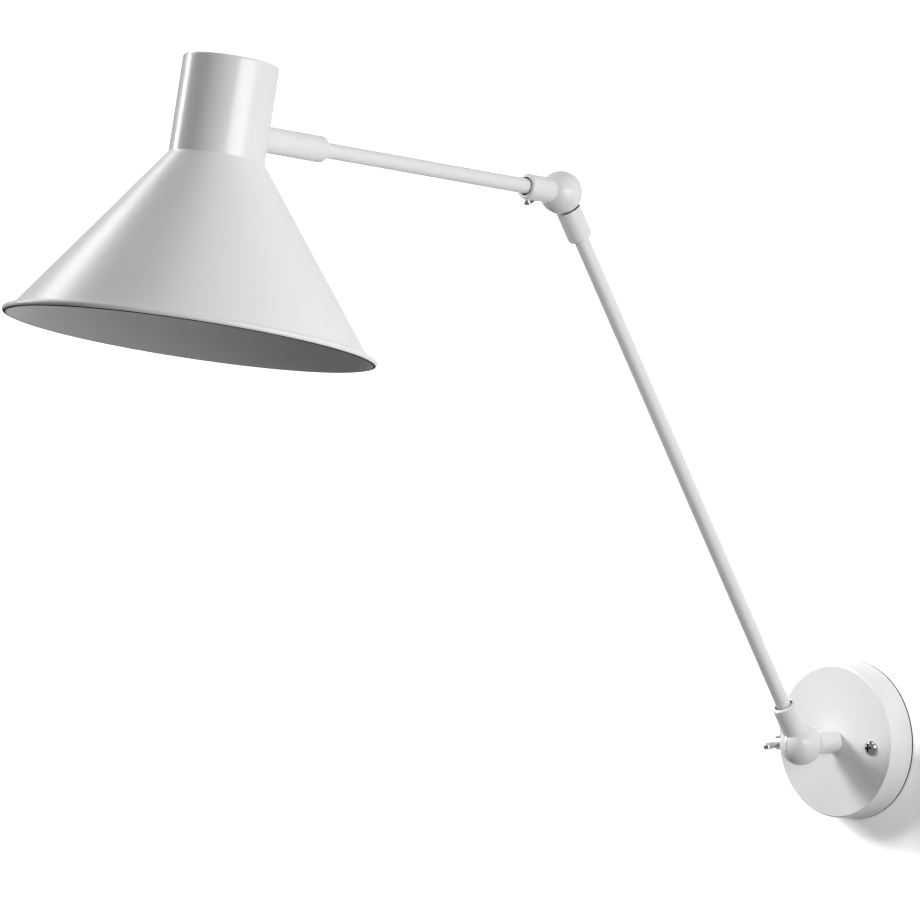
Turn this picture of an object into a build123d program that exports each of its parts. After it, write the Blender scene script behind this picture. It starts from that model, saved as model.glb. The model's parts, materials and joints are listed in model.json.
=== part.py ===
"""Articulating wall lamp: wall plate, stem, two arms with clamped ball knuckles and a conical shade.

Millimetres, +Z up. The origin is the centre of the wall plate's back face: the wall is the plane
y = 0, the lamp reaches out along -Y, and both knuckles hinge about axes parallel to X.
"""
import os
from math import cos, radians, sin, sqrt, tan

from build123d import *

os.makedirs("parts", exist_ok=True)

# ---------------------------------------------------------------- driving dimensions
# pose of the arms and the shade, in degrees
lower_arm_rise = 58.4        # above horizontal, going out from the wall
upper_arm_rise = 8.0
shade_lean = 11.9            # the mouth is turned out this far from straight down

# wall plate and what it hides
cover_radius = 53.25         # at its open end, next to the wall
cover_stand_off = 1.0        # the open end stops short of the wall
cover_draft = 7.0            # degrees that the side leans in towards the front
cover_depth = 19.5
cover_wall = 1.5
cover_edge_round = 1.2
backplate_radius = 46.0
backplate_thickness = 1.5
cable_hole_radius = 10.0
wall_slot_pitch = 60.0       # centre to centre, as on a wall box
wall_slot_width = 5.0
wall_slot_length = 12.0
cover_screw_pitch = 66.6
cover_screw_turn = 4.0       # degrees that the line of the two screws falls towards +X
cover_screw_radius = 2.0     # M4
cover_screw_length = 12.0
cover_screw_head_radius = 5.0
cover_screw_head_edge = 0.8
cover_screw_head_height = 3.6
cross_recess_depth = 1.6
cross_recess_length = 5.6
cross_recess_width = 1.3
pillar_flats = 7.0
pillar_spigot_radius = 1.5
terminal_size_x = 18.0
terminal_size_z = 18.0
terminal_height = 12.0
terminal_corner_x = 8.0      # corner of the block nearest the plate's centre
terminal_corner_z = 12.0
terminal_poles = 2           # the earth has a screw of its own
terminal_screw_radius = 1.6
terminal_screw_length = 4.0
terminal_screw_sink = 1.0
terminal_wire_half = 1.5
terminal_wire_height = 3.5
terminal_groove = 1.2
earth_screw_x = -22.0
earth_screw_z = -20.0
earth_head_radius = 4.0
earth_head_height = 2.6
slot_width = 0.8
slot_depth = 0.9
stop_pin_radius = 1.5
stop_pin_offset = 12.0       # from the swivel's axis
stop_pin_length = 3.6
stop_tab_width = 4.0
stop_washer_radius = 9.0

# lamp pipe thread, shared by the stem, the shade and the lampholder
pipe_radius = 5.0            # M10 x 1
pipe_bore_radius = 3.75
pipe_end = 1.5               # thread left standing past a nut
nut_flats = 14.0
nut_height = 3.5
washer_thickness = 1.2
spring_washer_thickness = 0.9
spring_washer_rim = 0.55
pipe_washer_radius = 8.0

# knuckles
ball_radius = 14.0
pivot_reach = 52.6           # wall to the base knuckle's axis
parting_gap = 0.6            # slot seen between the two halves of a ball
friction_recess = 0.5
friction_ring_radius = 12.4
pocket_radius = 9.5
pocket_depth = 7.0
boss_radius = 5.0
screw_radius = 3.0           # M6
screw_depth = 8.5            # thread in the near half, past the parting plane
screw_bottom = 0.5
wing_seat_depth = 12.6       # parting plane to the flat under the wing screw
seat_washer_radius = 5.2
stem_radius = 7.75
stem_bore_depth = 17.5
socket_radius = 8.25
socket_edge_round = 1.4
socket_recess_radius = 6.0
socket_recess_depth = 5.0
tube_seat = 15.6             # ball centre to the tube's end in its socket
wire_way_radius = 3.5
base_socket_reach = 32.0     # ball centre to the socket's mouth
elbow_lower_reach = 34.8
elbow_upper_reach = 32.6

# wing screws
wing_hub_radius = 4.8
wing_hub_length = 7.0
wing_span = 34.0
wing_thickness = 3.9
wing_tip_radius = 2.8
wing_root_radius = 3.3
wing_edge_bevel = 0.9
base_wing_turn = 6.0         # degrees that the outer wing points below horizontal
elbow_wing_turn = 25.0

# arms
tube_radius = 5.0
tube_wall = 1.0
lower_arm_length = 435.5     # knuckle axis to knuckle axis
upper_arm_length = 302.6     # knuckle axis to the shade's axis

# shade swivel
collar_radius = 8.4
collar_length = 57.0         # on the arm's axis, mouth to neck
collar_bearing = 22.0
collar_bore_radius = 6.8
collar_edge_round = 1.6
tube_nut_radius = 6.4
tube_nut_height = 4.0
tube_nut_slot = 1.6
nipple_plug_length = 12.0
nipple_plug_setback = 2.0    # plug to the neck's outside

# shade
sheet = 0.8
neck_above_arm = 44.6
neck_below_arm = 17.0
neck_edge_round = 1.8
sleeve_length = 8.0
cone_half_angle = 36.6       # degrees
rim_radius = 117.1
bead_radius = 2.1

# lampholder, E27
strap_thickness = 1.6
strap_width = 16.0
strap_height = 29.0          # arm's axis up to the underside of the level leg
strap_tail = 9.0             # below the arm's axis
strap_tip = 10.0             # past the shade's axis
strap_bend_radius = 2.5
strap_wall_gap = 0.1
holder_nipple_length = 14.0
holder_boss_radius = 8.0
holder_boss_height = 5.0
holder_cap_height = 14.0
holder_skirt = 7.0
holder_radius = 18.8
holder_length = 36.0
holder_rib_count = 16
holder_rib_depth = 0.5
holder_room = 10.9           # ribs to the neck's outside
holder_wall = 2.2
holder_floor = 3.0
holder_rib_width = 1.6
holder_rib_inset = 4.0       # from each end of the body
holder_rim = 1.6             # shell's end to the mouth
holder_floor_gap = 4.0       # shell's other end to the floor
holder_wire_radius = 1.5
holder_wire_offset = 12.0
shell_radius = 13.25         # inside the screw shell
shell_wall = 0.5
shell_length = 24.0
contact_width = 6.0
contact_thickness = 0.6
contact_length = 12.0
contact_rise = 3.2

# the neck is as wide as the lampholder needs
neck_radius = holder_radius + holder_rib_depth + holder_room

# clearances
thread_gap = 0.05            # in threads and fixed seats
running_gap = 0.05           # between a shaft and the bore that it turns in
face_gap = 0.03              # between flat faces that turn on each other
ball_gap = 0.9               # between a half ball and the other half's socket

# ---------------------------------------------------------------- frames


def arm_direction(rise):
    """Unit vector that goes out from the wall and up by rise degrees."""
    return Vector(0, -cos(radians(rise)), sin(radians(rise)))


pivot_axis = Vector(1, 0, 0)
lower_direction = arm_direction(lower_arm_rise)
upper_direction = arm_direction(upper_arm_rise)
shade_down = Vector(0, -sin(radians(shade_lean)), -cos(radians(shade_lean)))

base_centre = Vector(0, -pivot_reach, 0)
elbow_centre = base_centre + lower_direction * lower_arm_length
shade_centre = elbow_centre + upper_direction * upper_arm_length

# every frame has its X on the pivot axis and its Z along the piece
wall_frame = Plane(origin=(0, 0, 0), x_dir=pivot_axis, z_dir=(0, -1, 0))
stem_frame = Plane(origin=base_centre, x_dir=pivot_axis, z_dir=(0, 1, 0))
base_arm_frame = Plane(origin=base_centre, x_dir=pivot_axis, z_dir=lower_direction)
elbow_lower_frame = Plane(origin=elbow_centre, x_dir=pivot_axis, z_dir=lower_direction * -1)
elbow_upper_frame = Plane(origin=elbow_centre, x_dir=pivot_axis, z_dir=upper_direction)
shade_frame = Plane(origin=shade_centre, x_dir=pivot_axis, z_dir=shade_down)

near_side = 1                # +X half of a ball, threaded for the wing screw
far_side = -1                # -X half, under the wing screw


def section(frame, side=near_side):
    """Plane through a frame's X and Z axes: local x goes out on one side, local y along Z."""
    return Plane(origin=frame.origin, x_dir=frame.x_dir * side, z_dir=frame.y_dir * -side)


def pivot_plane(frame, side=near_side):
    """Plane through the pivot's centre, square to the pivot axis and facing out on one side."""
    return Plane(origin=frame.origin, x_dir=frame.z_dir, z_dir=frame.x_dir * side)


def long_axis(frame):
    return Axis(frame.origin, frame.z_dir)


def cross_axis(frame):
    return Axis(frame.origin, frame.x_dir)


# ---------------------------------------------------------------- shapes used more than once


def hex_nut(frame, level, hole_radius):
    """Lock nut on the frame's Z axis, standing on the given level."""
    with BuildPart() as nut:
        with BuildSketch(frame.offset(level)):
            RegularPolygon(radius=nut_flats / 2, side_count=6, major_radius=False)
            Circle(hole_radius, mode=Mode.SUBTRACT)
        extrude(amount=nut_height)
    return nut.part


def pipe(frame, start, end, outer_radius, inner_radius):
    """Hollow round length on the frame's Z axis."""
    with BuildPart() as length:
        with BuildSketch(frame.offset(start)):
            Circle(outer_radius)
            Circle(inner_radius, mode=Mode.SUBTRACT)
        extrude(amount=end - start)
    return length.part


def disc_spring(frame, level, inner_radius, outer_radius):
    """Dished spring washer on the frame's Z axis: rim at the level, hole a washer's height on."""
    with BuildPart() as spring:
        with BuildSketch(section(frame)):
            with BuildLine():
                Polyline(
                    (outer_radius, level),
                    (outer_radius, level + spring_washer_rim),
                    (inner_radius, level + spring_washer_thickness),
                    (inner_radius, level + spring_washer_thickness - spring_washer_rim),
                    close=True,
                )
            make_face()
        revolve(axis=long_axis(frame))
    return spring.part


def knuckle_half(frame, side, outer_radius, reach, seat, mouth_radius):
    """Half a ball that carries a round socket along the frame's Z axis.

    The socket is whole, but its root is relieved by a sphere, so that the other half ball can
    turn beside it. The half ball is hollow round its boss, for the wires.
    """
    under_wing = side == far_side
    pole = wing_seat_depth if under_wing else ball_radius
    half_gap = parting_gap / 2
    clear_radius = ball_radius + ball_gap
    profile = section(frame, side)
    turn = cross_axis(frame)
    with BuildPart() as half:
        with BuildSketch(profile):
            Circle(ball_radius)
            with Locations((half_gap, 0)):
                Rectangle(pole - half_gap, ball_radius, align=Align.MIN, mode=Mode.INTERSECT)
        revolve(axis=turn)
        with BuildSketch(profile) as socket:
            Rectangle(outer_radius, reach, align=Align.MIN)
            outer_corner = socket.vertices().sort_by(Axis.Y)[-2:].sort_by(Axis.X)[-1]
            fillet(outer_corner, socket_edge_round)
        revolve(axis=long_axis(frame))
        # room for the other half ball
        with BuildSketch(profile):
            Circle(clear_radius)
            with Locations((half_gap, 0)):
                Rectangle(
                    half_gap + clear_radius,
                    clear_radius,
                    align=(Align.MAX, Align.MIN),
                    mode=Mode.INTERSECT,
                )
        revolve(axis=turn, mode=Mode.SUBTRACT)
        # hollow round the boss, and the step that holds the friction ring
        with BuildSketch(profile):
            with Locations((half_gap, boss_radius)):
                Rectangle(pocket_depth - half_gap, pocket_radius - boss_radius, align=Align.MIN)
            with Locations((half_gap, pocket_radius)):
                Rectangle(friction_recess, friction_ring_radius - pocket_radius, align=Align.MIN)
        revolve(axis=turn, mode=Mode.SUBTRACT)
        # hole for the wing screw: through the far half, blind in the near half
        with BuildSketch(pivot_plane(frame, side)):
            Circle(screw_radius + running_gap)
        extrude(amount=pole if under_wing else screw_depth + half_gap, mode=Mode.SUBTRACT)
        # seat of the tube, its open mouth, and the way in for the wires
        with BuildSketch(frame.offset(seat)):
            Circle(pipe_radius + thread_gap)
        extrude(amount=reach - seat, mode=Mode.SUBTRACT)
        with BuildSketch(frame.offset(reach)):
            Circle(mouth_radius)
        extrude(amount=-socket_recess_depth, mode=Mode.SUBTRACT)
        with BuildSketch(frame.offset(boss_radius + thread_gap)):
            Circle(wire_way_radius)
        extrude(amount=seat - boss_radius - thread_gap, mode=Mode.SUBTRACT)
    return half.part


def friction_ring(frame):
    """Fibre ring between the two halves of a ball, let into both and fixed in the near one."""
    recess_floor = parting_gap / 2 + friction_recess
    with BuildPart() as ring:
        with BuildSketch(pivot_plane(frame).offset(recess_floor)):
            Circle(friction_ring_radius - thread_gap)
            Circle(pocket_radius, mode=Mode.SUBTRACT)
        extrude(amount=face_gap - 2 * recess_floor)
    return ring.part


def wing_seat(frame):
    """Frame of the flat under a wing screw, facing out on the far side."""
    return Plane(
        origin=frame.origin + pivot_axis * far_side * wing_seat_depth,
        x_dir=(0, 0, 1),
        z_dir=pivot_axis * far_side,
    )


def wing_screw(frame, turn):
    """Clamping screw on the far side of a knuckle: shank, hub and two wings with round tips."""
    hub_start = wing_seat_depth + spring_washer_thickness + face_gap
    hub_middle = hub_start + wing_hub_length / 2
    shank_end = -(parting_gap / 2 + screw_depth - screw_bottom)
    wing_direction = Vector(0, -cos(radians(turn)), -sin(radians(turn)))
    flat = Plane(
        origin=frame.origin,
        x_dir=pivot_axis * far_side,
        z_dir=(pivot_axis * far_side).cross(wing_direction),
    )
    with BuildPart() as screw:
        with BuildSketch(flat):
            with Locations(
                (hub_middle, wing_span / 2 - wing_tip_radius),
                (hub_middle, wing_tip_radius - wing_span / 2),
            ):
                Circle(wing_tip_radius)
            with Locations((hub_middle, 0)):
                Circle(wing_root_radius)
            make_hull()
        extrude(amount=wing_thickness / 2, both=True)
        chamfer(screw.faces().filter_by(flat).edges(), wing_edge_bevel)
        with BuildSketch(flat):
            with BuildLine():
                Polyline(
                    (shank_end, 0),
                    (shank_end, screw_radius),
                    (hub_start, screw_radius),
                    (hub_start, wing_hub_radius),
                    (hub_start + wing_hub_length, wing_hub_radius),
                    (hub_start + wing_hub_length, 0),
                    close=True,
                )
            make_face()
        revolve(axis=cross_axis(frame))
    return screw.part


# ---------------------------------------------------------------- wall plate
cover_mouth = wall_frame.offset(cover_stand_off)
cover_face = wall_frame.offset(cover_depth)
cover_inside = cover_depth - cover_wall
screw_x = cos(radians(cover_screw_turn)) * cover_screw_pitch / 2
screw_z = sin(radians(cover_screw_turn)) * cover_screw_pitch / 2
screw_places = [(-screw_x, screw_z), (screw_x, -screw_z)]

with BuildPart() as wall_cover:
    with BuildSketch(cover_mouth):
        Circle(cover_radius)
    extrude(amount=cover_depth - cover_stand_off, taper=cover_draft)
    fillet(wall_cover.faces().sort_by(Axis.Y)[0].edges(), cover_edge_round)
    with BuildSketch(cover_mouth):
        Circle(cover_radius - cover_wall)
    extrude(amount=cover_inside - cover_stand_off, taper=cover_draft, mode=Mode.SUBTRACT)
    with BuildSketch(cover_face):
        Circle(pipe_radius + running_gap)
        with Locations(*screw_places):
            Circle(cover_screw_radius + running_gap)
    extrude(amount=-cover_wall, mode=Mode.SUBTRACT)
wall_cover.part.label = "wall_cover"
export_step(wall_cover.part, "parts/wall_cover.step")

with BuildPart() as backplate:
    with BuildSketch(wall_frame):
        Circle(backplate_radius)
        Circle(cable_hole_radius, mode=Mode.SUBTRACT)
        with Locations((0, -wall_slot_pitch / 2), (0, wall_slot_pitch / 2)):
            SlotOverall(wall_slot_length, wall_slot_width, rotation=90, mode=Mode.SUBTRACT)
        with Locations(*screw_places):
            Circle(pillar_spigot_radius + thread_gap, mode=Mode.SUBTRACT)
        with Locations((earth_screw_x, earth_screw_z)):
            Circle(cover_screw_radius + thread_gap, mode=Mode.SUBTRACT)
    extrude(amount=backplate_thickness)
backplate.part.label = "backplate"
export_step(backplate.part, "parts/backplate.step")

with BuildPart() as backplate_pillars:
    with BuildSketch(wall_frame.offset(backplate_thickness)):
        with Locations(*screw_places):
            RegularPolygon(radius=pillar_flats / 2, side_count=6, major_radius=False)
    extrude(amount=cover_inside - backplate_thickness)
    with BuildSketch(wall_frame):
        with Locations(*screw_places):
            Circle(pillar_spigot_radius)
    extrude(amount=backplate_thickness)
    with BuildSketch(wall_frame.offset(cover_inside)):
        with Locations(*screw_places):
            Circle(cover_screw_radius + thread_gap)
    extrude(amount=-cover_screw_length, mode=Mode.SUBTRACT)
backplate_pillars.part.label = "backplate_pillars"
export_step(backplate_pillars.part, "parts/backplate_pillars.step")

with BuildPart() as cover_screws:
    for place_x, place_z in screw_places:
        screw_frame = Plane(origin=(place_x, -cover_depth, place_z), x_dir=(1, 0, 0), z_dir=(0, -1, 0))
        with BuildSketch(section(screw_frame)):
            with BuildLine():
                Polyline(
                    (0, cover_screw_head_height),
                    (0, -cover_screw_length),
                    (cover_screw_radius, -cover_screw_length),
                    (cover_screw_radius, 0),
                    (cover_screw_head_radius, 0),
                    (cover_screw_head_radius, cover_screw_head_edge),
                )
                TangentArc(
                    (0, cover_screw_head_height),
                    (cover_screw_head_radius, cover_screw_head_edge),
                    tangent=(1, 0),
                )
            make_face()
        revolve(axis=long_axis(screw_frame))
    with BuildSketch(wall_frame.offset(cover_depth + cover_screw_head_height)):
        with Locations(*screw_places):
            Rectangle(cross_recess_length, cross_recess_width)
            Rectangle(cross_recess_width, cross_recess_length)
    extrude(amount=-cross_recess_depth, mode=Mode.SUBTRACT)
cover_screws.part.label = "cover_screws"
export_step(cover_screws.part, "parts/cover_screws.step")

# ---------------------------------------------------------------- house wiring inside the plate
terminal_centre_x = terminal_corner_x + terminal_size_x / 2
terminal_centre_z = terminal_corner_z + terminal_size_z / 2
terminal_pole_pitch = terminal_size_z / terminal_poles
terminal_top = wall_frame.offset(backplate_thickness + terminal_height)

with BuildPart() as terminal_block:
    with BuildSketch(wall_frame.offset(backplate_thickness)):
        with Locations((terminal_centre_x, terminal_centre_z)):
            Rectangle(terminal_size_x, terminal_size_z)
    extrude(amount=terminal_height)
    with BuildSketch(terminal_top):
        with Locations((terminal_centre_x, terminal_centre_z)):
            with GridLocations(0, terminal_pole_pitch, 1, terminal_poles - 1):
                Rectangle(terminal_size_x, terminal_groove)
    extrude(amount=-terminal_height / 2, mode=Mode.SUBTRACT)
    with BuildSketch(terminal_top):
        with Locations((terminal_centre_x, terminal_centre_z)):
            with GridLocations(terminal_size_x / 2, terminal_pole_pitch, 2, terminal_poles):
                Circle(terminal_screw_radius + thread_gap)
    extrude(amount=-(terminal_screw_sink + terminal_screw_length), mode=Mode.SUBTRACT)
    wire_level = -(backplate_thickness + terminal_wire_height)
    wire_entry = Plane(
        origin=(terminal_corner_x, wire_level, terminal_centre_z), x_dir=(0, 0, 1), z_dir=(1, 0, 0)
    )
    with BuildSketch(wire_entry):
        with GridLocations(terminal_pole_pitch, 0, terminal_poles, 1):
            Rectangle(2 * terminal_wire_half, 2 * terminal_wire_half)
    extrude(amount=terminal_size_x, mode=Mode.SUBTRACT)
terminal_block.part.label = "terminal_block"
export_step(terminal_block.part, "parts/terminal_block.step")

with BuildPart() as terminal_screws:
    with BuildSketch(terminal_top.offset(-terminal_screw_sink)):
        with Locations((terminal_centre_x, terminal_centre_z)):
            with GridLocations(terminal_size_x / 2, terminal_pole_pitch, 2, terminal_poles):
                Circle(terminal_screw_radius)
    extrude(amount=-terminal_screw_length)
terminal_screws.part.label = "terminal_screws"
export_step(terminal_screws.part, "parts/terminal_screws.step")

with BuildPart() as earth_screw:
    with BuildSketch(wall_frame):
        with Locations((earth_screw_x, earth_screw_z)):
            Circle(cover_screw_radius)
    extrude(amount=backplate_thickness)
    with BuildSketch(wall_frame.offset(backplate_thickness)):
        with Locations((earth_screw_x, earth_screw_z)):
            Circle(earth_head_radius)
    extrude(amount=earth_head_height)
    with BuildSketch(wall_frame.offset(backplate_thickness + earth_head_height)):
        with Locations((earth_screw_x, earth_screw_z)):
            Rectangle(2 * earth_head_radius, slot_width)
    extrude(amount=-slot_depth, mode=Mode.SUBTRACT)
earth_screw.part.label = "earth_screw"
export_step(earth_screw.part, "parts/earth_screw.step")

# ---------------------------------------------------------------- swivel of the stem in the plate
# levels count out from the wall; the washers and the nut stand inside the cover's front
stop_washer_level = cover_inside - face_gap - washer_thickness
stem_nut_level = stop_washer_level - spring_washer_thickness - nut_height
stem_nipple_start = stem_nut_level - pipe_end
stem_foot = cover_depth + face_gap
stem_reach = pivot_reach - stem_foot

with BuildPart() as swivel_stop_pin:
    with BuildSketch(wall_frame.offset(cover_inside)):
        with Locations((0, stop_pin_offset)):
            Circle(stop_pin_radius)
    extrude(amount=-stop_pin_length)
swivel_stop_pin.part.label = "swivel_stop_pin"
export_step(swivel_stop_pin.part, "parts/swivel_stop_pin.step")

with BuildPart() as swivel_stop_washer:
    with BuildSketch(wall_frame.offset(stop_washer_level)):
        Circle(stop_washer_radius)
        Rectangle(
            stop_tab_width,
            stop_pin_offset + stop_pin_radius,
            align=(Align.CENTER, Align.MAX),
        )
        Circle(pipe_radius + thread_gap, mode=Mode.SUBTRACT)
    extrude(amount=washer_thickness)
swivel_stop_washer.part.label = "swivel_stop_washer"
export_step(swivel_stop_washer.part, "parts/swivel_stop_washer.step")

washer_back = Plane(origin=(0, -stop_washer_level, 0), x_dir=pivot_axis, z_dir=(0, 1, 0))
swivel_spring_washer = disc_spring(washer_back, 0, pipe_radius + thread_gap, pipe_washer_radius)
swivel_spring_washer.label = "swivel_spring_washer"
export_step(swivel_spring_washer, "parts/swivel_spring_washer.step")

stem_nut = hex_nut(wall_frame, stem_nut_level, pipe_radius + thread_gap)
stem_nut.label = "stem_nut"
export_step(stem_nut, "parts/stem_nut.step")

stem_nipple_end = stem_foot + stem_bore_depth
stem_nipple = pipe(wall_frame, stem_nipple_start, stem_nipple_end, pipe_radius, pipe_bore_radius)
stem_nipple.label = "stem_nipple"
export_step(stem_nipple, "parts/stem_nipple.step")

# ---------------------------------------------------------------- base knuckle
stem_knuckle_half = knuckle_half(
    stem_frame,
    far_side,
    stem_radius,
    stem_reach,
    stem_reach - stem_bore_depth,
    pipe_radius + thread_gap,
)
stem_knuckle_half.label = "stem_knuckle_half"
export_step(stem_knuckle_half, "parts/stem_knuckle_half.step")

base_arm_half = knuckle_half(
    base_arm_frame,
    near_side,
    socket_radius,
    base_socket_reach,
    tube_seat,
    socket_recess_radius,
)
base_arm_half.label = "base_arm_half"
export_step(base_arm_half, "parts/base_arm_half.step")

base_friction_ring = friction_ring(base_arm_frame)
base_friction_ring.label = "base_friction_ring"
export_step(base_friction_ring, "parts/base_friction_ring.step")

base_wing_spring = disc_spring(
    wing_seat(stem_frame),
    0,
    screw_radius + running_gap,
    seat_washer_radius,
)
base_wing_spring.label = "base_wing_spring"
export_step(base_wing_spring, "parts/base_wing_spring.step")

base_wing_screw = wing_screw(base_arm_frame, base_wing_turn)
base_wing_screw.label = "base_wing_screw"
export_step(base_wing_screw, "parts/base_wing_screw.step")

# ---------------------------------------------------------------- lower arm and elbow knuckle
tube_bore_radius = tube_radius - tube_wall
lower_tube_end = lower_arm_length - tube_seat
lower_arm_tube = pipe(base_arm_frame, tube_seat, lower_tube_end, tube_radius, tube_bore_radius)
lower_arm_tube.label = "lower_arm_tube"
export_step(lower_arm_tube, "parts/lower_arm_tube.step")

elbow_lower_half = knuckle_half(
    elbow_lower_frame,
    far_side,
    socket_radius,
    elbow_lower_reach,
    tube_seat,
    socket_recess_radius,
)
elbow_lower_half.label = "elbow_lower_half"
export_step(elbow_lower_half, "parts/elbow_lower_half.step")

elbow_upper_half = knuckle_half(
    elbow_upper_frame,
    near_side,
    socket_radius,
    elbow_upper_reach,
    tube_seat,
    socket_recess_radius,
)
elbow_upper_half.label = "elbow_upper_half"
export_step(elbow_upper_half, "parts/elbow_upper_half.step")

elbow_friction_ring = friction_ring(elbow_upper_frame)
elbow_friction_ring.label = "elbow_friction_ring"
export_step(elbow_friction_ring, "parts/elbow_friction_ring.step")

elbow_wing_spring = disc_spring(
    wing_seat(elbow_lower_frame),
    0,
    screw_radius + running_gap,
    seat_washer_radius,
)
elbow_wing_spring.label = "elbow_wing_spring"
export_step(elbow_wing_spring, "parts/elbow_wing_spring.step")

elbow_wing_screw = wing_screw(elbow_upper_frame, elbow_wing_turn)
elbow_wing_screw.label = "elbow_wing_screw"
export_step(elbow_wing_screw, "parts/elbow_wing_screw.step")

# ---------------------------------------------------------------- upper arm and shade swivel
# levels are along the arm, from the elbow
neck_level = upper_arm_length - neck_radius
collar_start = neck_level - collar_length
swivel_washer_level = collar_start + collar_bearing + face_gap
tube_nut_level = swivel_washer_level + washer_thickness
upper_tube_end = tube_nut_level + tube_nut_height + pipe_end
nipple_plug_end = neck_level - nipple_plug_setback

# the strap stands square to the arm's axis, so it leans a little in the upright neck
strap_lean = radians(shade_lean - upper_arm_rise)
strap_chord = sqrt((neck_radius - sheet) ** 2 - (strap_width / 2) ** 2)
strap_offset = strap_chord - strap_tail * tan(strap_lean) - strap_wall_gap
shade_nut_level = upper_arm_length - strap_offset + strap_thickness
shade_nipple_end = shade_nut_level + nut_height + pipe_end

upper_arm_tube = pipe(elbow_upper_frame, tube_seat, upper_tube_end, tube_radius, tube_bore_radius)
upper_arm_tube.label = "upper_arm_tube"
export_step(upper_arm_tube, "parts/upper_arm_tube.step")

with BuildPart() as shade_collar:
    with BuildSketch(section(elbow_upper_frame)) as collar_profile:
        with Locations((0, collar_start)):
            Rectangle(collar_radius, upper_arm_length - collar_start, align=Align.MIN)
        mouth_corner = collar_profile.vertices().sort_by(Axis.Y)[:2].sort_by(Axis.X)[-1]
        fillet(mouth_corner, collar_edge_round)
    revolve(axis=long_axis(elbow_upper_frame))
    with BuildSketch(shade_frame):
        Circle(neck_radius)
    extrude(amount=neck_radius, both=True, mode=Mode.SUBTRACT)
    with BuildSketch(elbow_upper_frame.offset(collar_start)):
        Circle(tube_radius + running_gap)
    extrude(amount=collar_bearing, mode=Mode.SUBTRACT)
    with BuildSketch(elbow_upper_frame.offset(collar_start + collar_bearing)):
        Circle(collar_bore_radius)
    extrude(amount=collar_length, mode=Mode.SUBTRACT)
shade_collar.part.label = "shade_collar"
export_step(shade_collar.part, "parts/shade_collar.step")

shade_swivel_washer = pipe(
    elbow_upper_frame,
    swivel_washer_level,
    tube_nut_level,
    tube_nut_radius,
    tube_radius + thread_gap,
)
shade_swivel_washer.label = "shade_swivel_washer"
export_step(shade_swivel_washer, "parts/shade_swivel_washer.step")

with BuildPart() as upper_tube_nut:
    with BuildSketch(elbow_upper_frame.offset(tube_nut_level)):
        Circle(tube_nut_radius)
        Circle(tube_radius + thread_gap, mode=Mode.SUBTRACT)
    extrude(amount=tube_nut_height)
    with BuildSketch(elbow_upper_frame.offset(tube_nut_level + tube_nut_height)):
        Rectangle(2 * tube_nut_radius, tube_nut_slot)
    extrude(amount=-tube_nut_slot, mode=Mode.SUBTRACT)
upper_tube_nut.part.label = "upper_tube_nut"
export_step(upper_tube_nut.part, "parts/upper_tube_nut.step")

with BuildPart() as shade_nipple:
    with BuildSketch(elbow_upper_frame.offset(nipple_plug_end)):
        Circle(collar_bore_radius - thread_gap)
    extrude(amount=-nipple_plug_length)
    with BuildSketch(elbow_upper_frame.offset(nipple_plug_end)):
        Circle(pipe_radius)
    extrude(amount=shade_nipple_end - nipple_plug_end)
    with BuildSketch(elbow_upper_frame.offset(shade_nipple_end)):
        Circle(pipe_bore_radius)
    extrude(amount=-shade_nipple_end + nipple_plug_end - nipple_plug_length, mode=Mode.SUBTRACT)
shade_nipple.part.label = "shade_nipple"
export_step(shade_nipple.part, "parts/shade_nipple.step")

shade_nut = hex_nut(elbow_upper_frame, shade_nut_level, pipe_radius + thread_gap)
shade_nut.label = "shade_nut"
export_step(shade_nut, "parts/shade_nut.step")

# ---------------------------------------------------------------- shade
junction_frame = shade_frame.offset(neck_below_arm)

with BuildPart() as shade_neck:
    with BuildSketch(junction_frame):
        Circle(neck_radius)
    extrude(amount=-(neck_above_arm + neck_below_arm))
    neck_top = shade_neck.faces().filter_by(GeomType.PLANE).sort_by(long_axis(shade_frame))[0]
    fillet(neck_top.edges(), neck_edge_round)
    with BuildSketch(junction_frame):
        Circle(neck_radius - sheet)
    extrude(amount=sheet - neck_above_arm - neck_below_arm, mode=Mode.SUBTRACT)
    with BuildSketch(elbow_upper_frame.offset(nipple_plug_end)):
        Circle(pipe_radius + thread_gap)
    extrude(amount=upper_arm_length - strap_offset - nipple_plug_end, mode=Mode.SUBTRACT)
shade_neck.part.label = "shade_neck"
export_step(shade_neck.part, "parts/shade_neck.step")

# the rim is rolled outwards into a bead; the cone's inside runs straight into it
cone_angle = radians(cone_half_angle)
bead_centre_radius = rim_radius - bead_radius
bead_touch_radius = bead_centre_radius - bead_radius * cos(cone_angle)
bead_touch_level = (bead_touch_radius - neck_radius + sheet / cos(cone_angle)) / tan(cone_angle)
bead_centre_level = bead_touch_level - bead_radius * sin(cone_angle)
sleeve_radius = neck_radius - sheet - thread_gap
sleeve_corner = (sheet / cos(cone_angle) - 2 * sheet - thread_gap) / tan(cone_angle)

with BuildPart() as shade_cone:
    with BuildSketch(section(junction_frame)):
        with BuildLine():
            Polyline(
                (sleeve_radius, -sleeve_length),
                (sleeve_radius, 0),
                (neck_radius, 0),
                (
                    bead_touch_radius + sheet * cos(cone_angle),
                    bead_touch_level - sheet * sin(cone_angle),
                ),
                (bead_touch_radius, bead_touch_level),
                (sleeve_radius - sheet, sleeve_corner),
                (sleeve_radius - sheet, -sleeve_length),
                close=True,
            )
        make_face()
        with Locations((bead_centre_radius, bead_centre_level)):
            Circle(bead_radius)
    revolve(axis=long_axis(shade_frame))
shade_cone.part.label = "shade_cone"
export_step(shade_cone.part, "parts/shade_cone.step")

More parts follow.
